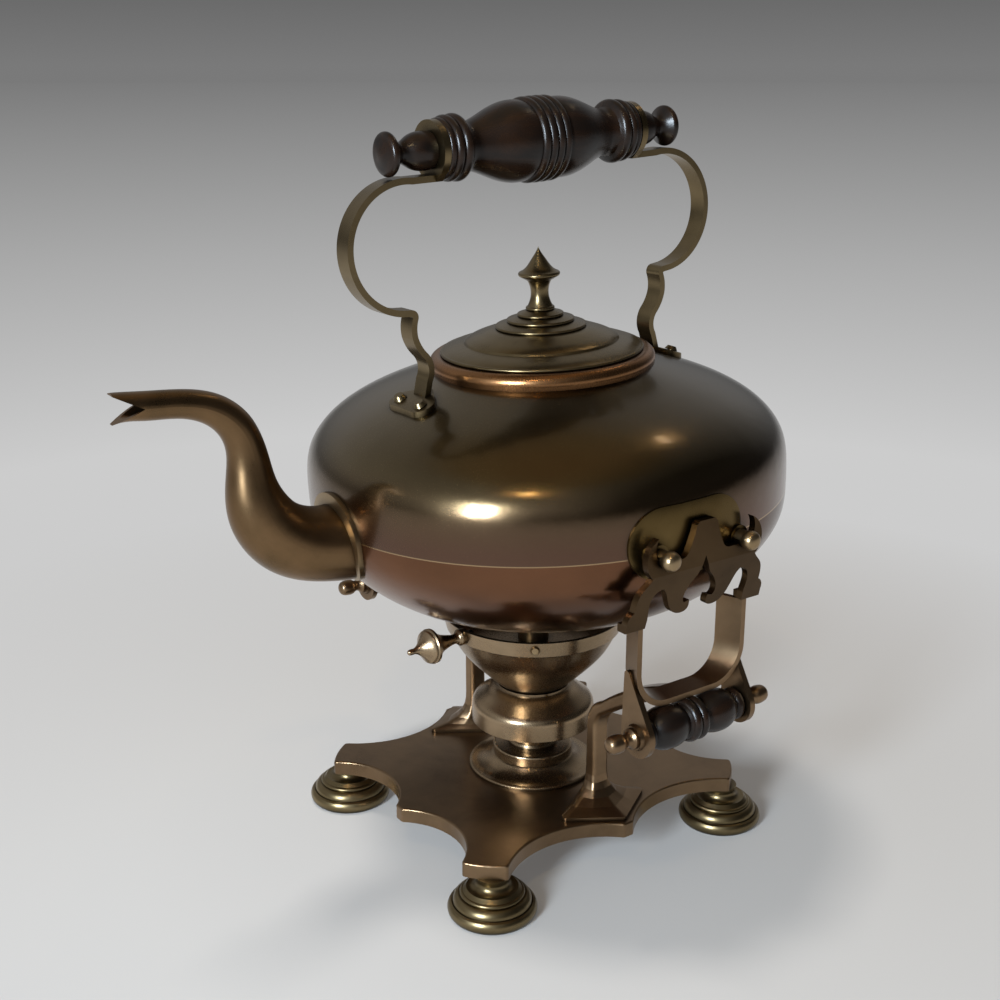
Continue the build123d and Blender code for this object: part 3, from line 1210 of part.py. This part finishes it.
with BuildPart() as burner_bowl:
    add(bowl_outside)
    add(bowl_inside, mode=Mode.SUBTRACT)
    with Locations((0, 0, BOWL_FOOT)):
        Cylinder(STEM_THREAD_RADIUS, 8, mode=Mode.SUBTRACT)
    with Locations(tang_plane):
        Cylinder(BURNER_TANG_RADIUS, 2 * BURNER_TANG_BITE, mode=Mode.SUBTRACT)
    for plane in lip_screw_planes():
        with Locations(plane):
            Cylinder(BURNER_SCREW_RADIUS, 8, mode=Mode.SUBTRACT)
save("burner_bowl", burner_bowl.part)

with BuildPart() as burner_screws:
    for plane in lip_screw_planes():
        with BuildSketch(plane):
            Circle(2.2)
        extrude(amount=1.7, taper=25)
    add(bowl_outside, mode=Mode.SUBTRACT)
    for plane in lip_screw_planes():
        with Locations(plane.offset(-3.4)):
            Cylinder(BURNER_SCREW_RADIUS, 4.2, align=from_below)
save("burner_screws", burner_screws.part)

cover_edge = COVER_LEVEL + COVER_RISE * (BOWL_RIM_RADIUS - COVER_FLAT_RADIUS)
with BuildPart() as burner_cover:
    with BuildSketch(Plane.XZ):
        with BuildLine():
            Polyline(
                (WICK_TUBE_RADIUS, COVER_LEVEL),
                (WICK_TUBE_RADIUS, COVER_LEVEL + COVER_THICK),
                (COVER_FLAT_RADIUS, COVER_LEVEL + COVER_THICK),
                (BOWL_RIM_RADIUS, cover_edge + COVER_THICK),
                (BOWL_RIM_RADIUS, cover_edge),
                (COVER_FLAT_RADIUS, COVER_LEVEL),
                close=True,
            )
        make_face()
    revolve(axis=Axis.Z)
    add(bowl_inside, mode=Mode.INTERSECT)
save("burner_cover", burner_cover.part)

with BuildPart() as wick_tube:
    with BuildSketch(Plane.XY.offset(nut_level + 5.0)):
        Circle(WICK_TUBE_RADIUS)
        Circle(WICK_TUBE_RADIUS - WICK_TUBE_WALL, mode=Mode.SUBTRACT)
    extrude(amount=WICK_TUBE_TOP - nut_level - 5.0)
save("wick_tube", wick_tube.part)

with BuildPart() as wick:
    with BuildSketch(Plane.XY.offset(nut_level + 6.0)):
        Circle(WICK_TUBE_RADIUS - WICK_TUBE_WALL)
    extrude(amount=WICK_TOP - nut_level - 6.0)
    fillet(wick.faces().sort_by(Axis.Z)[-1].edges(), 1.2)
save("wick", wick.part)
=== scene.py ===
"""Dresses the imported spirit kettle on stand: materials, soft studio light, pale floor and camera.

Lengths are in metres and colours are linear. The spout points to -X, and -Y is the near side.
"""

import json
import math

import bpy
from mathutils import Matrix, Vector

# Camera. Lens and sensor are in millimetres.
CAMERA_AT = Vector((-0.3552, -0.4685, 0.3358))
CAMERA_TARGET = Vector((-0.0187, 0.0, 0.1556))
CAMERA_LENS = 50.07
CAMERA_SENSOR = 36.0
CAMERA_CLIP_END = 200.0

# Floor. Its closeness is FADE_LENGTH / (distance from the middle + FADE_FROM): about 2.2 under the
# kettle, 1 at 0.7 m and 0 far away. FLOOR_LIT is warmer than FLOOR_NEAR, as the window is blue.
FLOOR_RADIUS = 30.0
FLOOR_CORNERS = 96
FADE_FROM = 0.588
FADE_LENGTH = 1.3077
FLOOR_FAR = (0.178, 0.178, 0.178)
FLOOR_MIDDLE = (0.402, 0.402, 0.402)
FLOOR_NEAR = (0.604, 0.604, 0.604)
FLOOR_LIT = (0.625, 0.604, 0.582)
# How much of the floor's light is its own, from the first closeness to the second.
OWN_LIGHT = (1.0, 0.15)
OWN_LIGHT_AT = (1.2, 1.7)

# Air: its colour by the height of the way looked, from 0 at the horizon to 1 straight up.
AIR_GREYS = (
    (0.0, 0.193),
    (0.05, 0.136),
    (0.16, 0.24),
    (0.36, 0.38),
    (0.58, 0.34),
    (0.80, 0.28),
)
AIR_OVERHEAD = [(0.90, (0.25, 0.20, 0.13)), (1.0, (0.28, 0.20, 0.12))]
# It dims to AIR_DIM towards AIR_DARK_WAY, over these cosines of the angle from that way. At the
# horizon that would leave a hard edge, so it sets in from there up to AIR_DIM_HEIGHT.
AIR_DARK_WAY = (0.643, -0.766, 0.0)
AIR_DIM = 0.12
AIR_DIM_COSINES = (0.2, 0.7)
AIR_DIM_HEIGHT = 0.10

# Lamps: azimuth, elevation and distance from LAMP_AIM, then size, power in watts, colour, and
# whether the metal mirrors the lamp. Azimuth 0 is the near side, -90 the spout's end.
LAMP_AIM = Vector((0.0, 0.0, 0.16))
LAMPS = {
    "window": ((-67, 16, 1.5), (0.28, 0.56), 34.0, (0.74, 0.87, 1.0), True),
    "warm_lamp": ((-50, 50, 1.5), (0.12, 0.04), 1.3, (1.0, 0.72, 0.36), True),
    "rear_lamp": ((96, 57, 1.6), (0.16, 0.06), 0.35, (1.0, 0.74, 0.46), True),
    "overhead": ((-150, 78, 4.0), (0.7, 0.7), 60.0, (1.0, 0.975, 0.94), False),
}

# Metal. The scales of its textures are in features per metre.
PATCH_SCALE = 28.0
PATCH_RANGE = (0.30, 0.72)
GRAIN_SCALE = 2600.0
WAVE_PER_PATCH = 1.7
WAVE_DEPTH = 0.00012
SMOOTHER, ROUGHER = 0.06, 0.08
COAT_ROUGHNESS = 0.11
# Dirt and painted shade in corners, found by ambient occlusion: its reach, range, tone and rays.
DIRT_AND_SHADE_REACH = 0.004
DIRT_AND_SHADE_RANGE = (0.35, 0.95)
DIRT_AND_SHADE_TONE = 0.28
DIRT_AND_SHADE_RAYS = 6
# Painted shade: the metal's colour darkens towards the back, over these x.
BACK_SHADE_RANGE = (-0.05, 0.08)

# The joint round the kettle's body: its height along the leaning axis, and the heights above it
# over which the blush and the bright line fade out.
KETTLE_LEAN = math.radians(3.0)
SEAM_LEVEL = 0.15974
SEAM_BLUSH = (0.004, 0.030)
SEAM_LINE = (0.0003, 0.0006)
# The colour of the thin bright line drawn along the joint.
SEAM_LINE_TONE = (0.42, 0.29, 0.16)

METALS = {
    "bronzed_copper": dict(
        bright=(0.165, 0.122, 0.060),
        deep=(0.105, 0.072, 0.032),
        roughness=0.22,
        patches=9.0,
        wave=0.00015,
        coat=0.40,
        back_shade=0.55,
        near_seam=(0.125, 0.066, 0.040),
    ),
    "red_copper": dict(
        bright=(0.200, 0.088, 0.042),
        deep=(0.125, 0.058, 0.028),
        roughness=0.20,
        patches=11.0,
        wave=0.0002,
        coat=0.2,
        back_shade=0.45,
    ),
    "collar_copper": dict(bright=(0.380, 0.190, 0.080), deep=(0.240, 0.116, 0.050), roughness=0.26),
    "spout_brass": dict(bright=(0.258, 0.154, 0.077), deep=(0.146, 0.092, 0.045), roughness=0.30),
    "light_brass": dict(bright=(0.430, 0.320, 0.190), deep=(0.270, 0.185, 0.095), roughness=0.32),
    "olive_bronze": dict(bright=(0.258, 0.194, 0.104), deep=(0.144, 0.106, 0.054), roughness=0.28),
    "stand_brass": dict(bright=(0.288, 0.190, 0.108), deep=(0.166, 0.107, 0.060), roughness=0.31),
    "foot_brass": dict(bright=(0.275, 0.209, 0.110), deep=(0.154, 0.115, 0.057), roughness=0.31),
    "burner_brass": dict(bright=(0.420, 0.305, 0.190), deep=(0.250, 0.178, 0.105), roughness=0.26),
    "plate_bronze": dict(bright=(0.170, 0.115, 0.045), deep=(0.100, 0.064, 0.022), roughness=0.28),
    "cradle_bronze": dict(bright=(0.095, 0.058, 0.027), deep=(0.052, 0.031, 0.014), roughness=0.30),
}

# Pieces that have tarnished darker than the rest of their slot.
DARKER = {
    "side_plate_near": "plate_bronze",
    "side_plate_far": "plate_bronze",
    "cradle_near": "cradle_bronze",
    "cradle_far": "cradle_bronze",
}

# Wood. Every wooden piece lies along X, and so does its grain.
WOOD_LIGHT = (0.018, 0.008, 0.004)
WOOD_DARK = (0.006, 0.004, 0.003)
WOOD_STRETCH = (0.18, 1.0, 1.0)
WOOD_GRAIN_SCALE = 120.0
WOOD_GRAIN_RANGE = (0.35, 0.70)
WOOD_GRAIN_DEPTH = 0.00012
WOOD_ROUGHNESS = (0.34, 0.24)
WOOD_SPECULAR = 0.35

# Cotton of the wick, which stands upright.
COTTON_LIGHT = (0.60, 0.56, 0.48)
COTTON_DARK = (0.30, 0.26, 0.20)
COTTON_STRETCH = (1.0, 1.0, 0.35)
COTTON_WEAVE_SCALE = 1400.0
COTTON_WEAVE_RANGE = (0.35, 0.65)
COTTON_WEAVE_DEPTH = 0.0003
COTTON_ROUGHNESS = 0.95

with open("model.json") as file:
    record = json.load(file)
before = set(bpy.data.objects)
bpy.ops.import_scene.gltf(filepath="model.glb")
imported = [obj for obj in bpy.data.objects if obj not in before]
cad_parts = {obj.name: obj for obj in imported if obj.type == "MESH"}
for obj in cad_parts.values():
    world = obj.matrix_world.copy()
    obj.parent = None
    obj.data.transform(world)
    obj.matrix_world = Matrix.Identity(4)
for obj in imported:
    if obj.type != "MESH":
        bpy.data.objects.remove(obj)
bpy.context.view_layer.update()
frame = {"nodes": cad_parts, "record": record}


# --- small node helpers ---------------------------------------------------------------------


def emptied(owner):
    """The node tree of a material or a world, with nothing in it."""
    owner.use_nodes = True
    owner.node_tree.nodes.clear()
    return owner.node_tree


def feed(tree, socket, value):
    """Links a socket to another one, or sets it to a number, a vector or a colour."""
    if isinstance(value, bpy.types.NodeSocket):
        tree.links.new(value, socket)
    elif socket.type == "RGBA":
        socket.default_value = (*value, 1.0)
    else:
        socket.default_value = value


def worked(tree, operation, first, second):
    """Two numbers added, subtracted or divided."""
    node = tree.nodes.new("ShaderNodeMath")
    node.operation = operation
    feed(tree, node.inputs[0], first)
    feed(tree, node.inputs[1], second)
    return node.outputs[0]


def along(tree, vector, way):
    """How far a vector reaches along a way of length 1."""
    node = tree.nodes.new("ShaderNodeVectorMath")
    node.operation = "DOT_PRODUCT"
    feed(tree, node.inputs[0], vector)
    feed(tree, node.inputs[1], way)
    return node.outputs["Value"]


def noise(tree, coords, scale, detail, roughness, distortion=0.0):
    """A noise texture read at the given coordinates."""
    node = tree.nodes.new("ShaderNodeTexNoise")
    feed(tree, node.inputs["Vector"], coords)
    feed(tree, node.inputs["Scale"], scale)
    feed(tree, node.inputs["Detail"], detail)
    feed(tree, node.inputs["Roughness"], roughness)
    feed(tree, node.inputs["Distortion"], distortion)
    return node.outputs["Fac"]


def stretched(tree, coords, scale):
    """The coordinates scaled unevenly, so that a texture runs along one way."""
    node = tree.nodes.new("ShaderNodeMapping")
    feed(tree, node.inputs["Vector"], coords)
    feed(tree, node.inputs["Scale"], scale)
    return node.outputs["Vector"]


def ramp(tree, value, stops):
    """A colour ramp over a value; stops are (place, colour)."""
    node = tree.nodes.new("ShaderNodeValToRGB")
    while len(node.color_ramp.elements) < len(stops):
        node.color_ramp.elements.new(0.5)
    for element, (place, colour) in zip(node.color_ramp.elements, stops):
        element.position = place
        element.color = (*colour, 1.0)
    feed(tree, node.inputs["Fac"], value)
    return node.outputs["Color"]


def spread(tree, value, low, high, start=0.3, end=0.7):
    """A value carried from start..end to low..high, and held at their ends."""
    node = tree.nodes.new("ShaderNodeMapRange")
    feed(tree, node.inputs["Value"], value)
    feed(tree, node.inputs["From Min"], start)
    feed(tree, node.inputs["From Max"], end)
    feed(tree, node.inputs["To Min"], low)
    feed(tree, node.inputs["To Max"], high)
    return node.outputs["Result"]


def mixed(tree, factor, first, second):
    """Two colours mixed by a factor."""
    node = tree.nodes.new("ShaderNodeMix")
    node.data_type = "RGBA"
    feed(tree, node.inputs["Factor"], factor)
    feed(tree, node.inputs["A"], first)
    feed(tree, node.inputs["B"], second)
    return node.outputs["Result"]


# --- materials ------------------------------------------------------------------------------


def new_material(name):
    """A material with a Principled shader and nothing else, and the place on its piece."""
    material = bpy.data.materials.new(name)
    tree = emptied(material)
    output = tree.nodes.new("ShaderNodeOutputMaterial")
    shader = tree.nodes.new("ShaderNodeBsdfPrincipled")
    feed(tree, output.inputs["Surface"], shader.outputs["BSDF"])
    place = tree.nodes.new("ShaderNodeTexCoord").outputs["Object"]
    return material, tree, shader, place


def bumped(tree, shader, height, depth):
    """Raises the shader's surface by a height from 0 to 1, at most by depth."""
    node = tree.nodes.new("ShaderNodeBump")
    feed(tree, node.inputs["Strength"], 1.0)
    feed(tree, node.inputs["Distance"], depth)
    feed(tree, node.inputs["Height"], height)
    feed(tree, shader.inputs["Normal"], node.outputs["Normal"])


def corner_dirt_and_shade(tree):
    """1 in a corner, where dirt and old polish gather and shade is painted in, 0 in the open."""
    node = tree.nodes.new("ShaderNodeAmbientOcclusion")
    node.samples = DIRT_AND_SHADE_RAYS
    feed(tree, node.inputs["Distance"], DIRT_AND_SHADE_REACH)
    return spread(tree, node.outputs["AO"], 1.0, 0.0, *DIRT_AND_SHADE_RANGE)


def seamed(tree, place, colour, blush):
    """A colour that turns to the blush down towards the body's joint, and to a bright line at it.
    """
    upright = (-math.sin(KETTLE_LEAN), 0.0, math.cos(KETTLE_LEAN))
    height = worked(tree, "SUBTRACT", along(tree, place, upright), SEAM_LEVEL)
    colour = mixed(tree, spread(tree, height, 1.0, 0.0, *SEAM_BLUSH), colour, blush)
    return mixed(tree, spread(tree, height, 1.0, 0.0, *SEAM_LINE), colour, SEAM_LINE_TONE)


def metal(
    name,
    bright,
    deep,
    roughness,
    patches=PATCH_SCALE,
    wave=WAVE_DEPTH,
    coat=0.0,
    back_shade=1.0,
    near_seam=None,
):
    """Patinated metal: soft two-tone patches, dirt and painted shade in corners, a fine worn grain.

    back_shade is what is left of the deep tone at the back, where the painted shade is deepest.
    near_seam is the tone that the colour turns to on its way down to the body's joint, which ends
    in a bright line.
    """
    material, tree, shader, place = new_material(name)
    tone = noise(tree, place, patches, 6.0, 0.6, 0.4)
    grain = noise(tree, place, GRAIN_SCALE, 3.0, 0.7)
    colour = ramp(tree, tone, list(zip(PATCH_RANGE, (deep, bright))))
    # Painted shade: darker towards the back, down to this fraction of the deep tone.
    if back_shade < 1.0:
        back = spread(tree, along(tree, place, (1.0, 0.0, 0.0)), 0.0, 1.0, *BACK_SHADE_RANGE)
        colour = mixed(tree, back, colour, tuple(back_shade * channel for channel in deep))
    if near_seam:
        colour = seamed(tree, place, colour, near_seam)
    # Dirt and painted shade: the colour darkens in the corners.
    colour = mixed(tree, corner_dirt_and_shade(tree), colour, tuple(DIRT_AND_SHADE_TONE * channel for channel in deep))
    wear = spread(tree, mixed(tree, grain, tone, grain), roughness - SMOOTHER, roughness + ROUGHER)
    feed(tree, shader.inputs["Base Color"], colour)
    feed(tree, shader.inputs["Roughness"], wear)
    feed(tree, shader.inputs["Metallic"], 1.0)
    feed(tree, shader.inputs["Coat Weight"], coat)
    feed(tree, shader.inputs["Coat Roughness"], COAT_ROUGHNESS)
    bumped(tree, shader, noise(tree, place, patches * WAVE_PER_PATCH, 3.0, 0.5), wave)
    return material


def wood(name):
    """Turned, nearly black stained wood under wax."""
    material, tree, shader, place = new_material(name)
    streak = noise(tree, stretched(tree, place, WOOD_STRETCH), WOOD_GRAIN_SCALE, 5.0, 0.6, 0.8)
    colour = ramp(tree, streak, list(zip(WOOD_GRAIN_RANGE, (WOOD_DARK, WOOD_LIGHT))))
    feed(tree, shader.inputs["Base Color"], colour)
    feed(tree, shader.inputs["Roughness"], spread(tree, streak, *WOOD_ROUGHNESS))
    feed(tree, shader.inputs["Specular IOR Level"], WOOD_SPECULAR)
    bumped(tree, shader, streak, WOOD_GRAIN_DEPTH)
    return material


def cotton(name):
    """Woven cotton."""
    material, tree, shader, place = new_material(name)
    weave = noise(tree, stretched(tree, place, COTTON_STRETCH), COTTON_WEAVE_SCALE, 2.0, 0.55)
    colour = ramp(tree, weave, list(zip(COTTON_WEAVE_RANGE, (COTTON_DARK, COTTON_LIGHT))))
    feed(tree, shader.inputs["Base Color"], colour)
    feed(tree, shader.inputs["Roughness"], COTTON_ROUGHNESS)
    bumped(tree, shader, weave, COTTON_WEAVE_DEPTH)
    return material


def dress_nodes():
    """Gives every CAD node its slot's material, or the darker one that it has tarnished to."""
    materials = {name: metal(name, **look) for name, look in METALS.items()}
    materials["dark_wood"] = wood("dark_wood")
    materials["wick_cotton"] = cotton("wick_cotton")
    slots = {row["node"]: row["material_slot"] for row in frame["record"]["subparts"]}
    for name, node in frame["nodes"].items():
        node.data.materials.clear()
        node.data.materials.append(materials[DARKER.get(name, slots[name])])


# --- stage ----------------------------------------------------------------------------------


def build_floor():
    """A pale floor that darkens softly with its distance and takes the kettle's shadow.

    The lamps light it near the kettle. Further off its light is its own, so that it stays even.
    """
    bpy.ops.mesh.primitive_circle_add(vertices=FLOOR_CORNERS, radius=FLOOR_RADIUS, fill_type="NGON")
    floor = bpy.context.object
    floor.name = "studio_floor"
    material = bpy.data.materials.new("studio_floor")
    tree = emptied(material)
    length = tree.nodes.new("ShaderNodeVectorMath")
    length.operation = "LENGTH"
    place = tree.nodes.new("ShaderNodeNewGeometry").outputs["Position"]
    feed(tree, length.inputs[0], place)
    further = worked(tree, "ADD", length.outputs["Value"], FADE_FROM)
    closeness = worked(tree, "DIVIDE", FADE_LENGTH, further)
    own = tree.nodes.new("ShaderNodeEmission")
    lit = tree.nodes.new("ShaderNodeBsdfDiffuse")
    for shader, near in ((own, FLOOR_NEAR), (lit, FLOOR_LIT)):
        shades = [(0.0, FLOOR_FAR), (0.5, FLOOR_MIDDLE), (1.0, near)]
        feed(tree, shader.inputs["Color"], ramp(tree, closeness, shades))
    mix = tree.nodes.new("ShaderNodeMixShader")
    feed(tree, mix.inputs["Fac"], spread(tree, closeness, *OWN_LIGHT, *OWN_LIGHT_AT))
    feed(tree, mix.inputs[1], lit.outputs["BSDF"])
    feed(tree, mix.inputs[2], own.outputs["Emission"])
    output = tree.nodes.new("ShaderNodeOutputMaterial")
    feed(tree, output.inputs["Surface"], mix.outputs["Shader"])
    floor.data.materials.append(material)


def build_world():
    """Grey air: dark at the horizon, lighter above it, warm and dim overhead, dark on one side."""
    world = bpy.data.worlds.new("studio_air")
    bpy.context.scene.world = world
    tree = emptied(world)
    way = tree.nodes.new("ShaderNodeTexCoord").outputs["Generated"]
    height = along(tree, way, (0.0, 0.0, 1.0))
    greys = [(stop, (grey, grey, grey)) for stop, grey in AIR_GREYS]
    side = spread(tree, along(tree, way, AIR_DARK_WAY), 1.0, AIR_DIM, *AIR_DIM_COSINES)
    strength = spread(tree, height, 1.0, side, 0.0, AIR_DIM_HEIGHT)
    background = tree.nodes.new("ShaderNodeBackground")
    feed(tree, background.inputs["Color"], ramp(tree, height, greys + AIR_OVERHEAD))
    feed(tree, background.inputs["Strength"], strength)
    output = tree.nodes.new("ShaderNodeOutputWorld")
    feed(tree, output.inputs["Surface"], background.outputs["Background"])


def placed(name, data, place, target):
    """A lamp or a camera in the scene, upright at its place and looking at its target."""
    thing = bpy.data.objects.new(name, data)
    bpy.context.scene.collection.objects.link(thing)
    thing.location = place
    thing.rotation_euler = (target - place).to_track_quat("-Z", "Y").to_euler()
    return thing


def build_lights():
    """A window at the spout's end, two small warm lamps and a soft overhead fill."""
    for name, ((azimuth, elevation, distance), size, power, colour, mirrored) in LAMPS.items():
        turn, rise = math.radians(azimuth), math.radians(elevation)
        flat = distance * math.cos(rise)
        reach = Vector((flat * math.sin(turn), -flat * math.cos(turn), distance * math.sin(rise)))
        data = bpy.data.lights.new(name, "AREA")
        data.shape = "RECTANGLE"
        data.size, data.size_y = size
        data.energy = power
        data.color = colour
        lamp = placed(name, data, LAMP_AIM + reach, LAMP_AIM)
        lamp.visible_camera = False
        lamp.visible_glossy = mirrored


def build_camera():
    """The camera, level, at the height and side from which the kettle is shown."""
    data = bpy.data.cameras.new("camera")
    data.lens = CAMERA_LENS
    data.sensor_width = CAMERA_SENSOR
    data.clip_end = CAMERA_CLIP_END
    bpy.context.scene.camera = placed("camera", data, CAMERA_AT, CAMERA_TARGET)


dress_nodes()
build_floor()
build_world()
build_lights()
build_camera()
bpy.context.scene.view_settings.view_transform = "Standard"
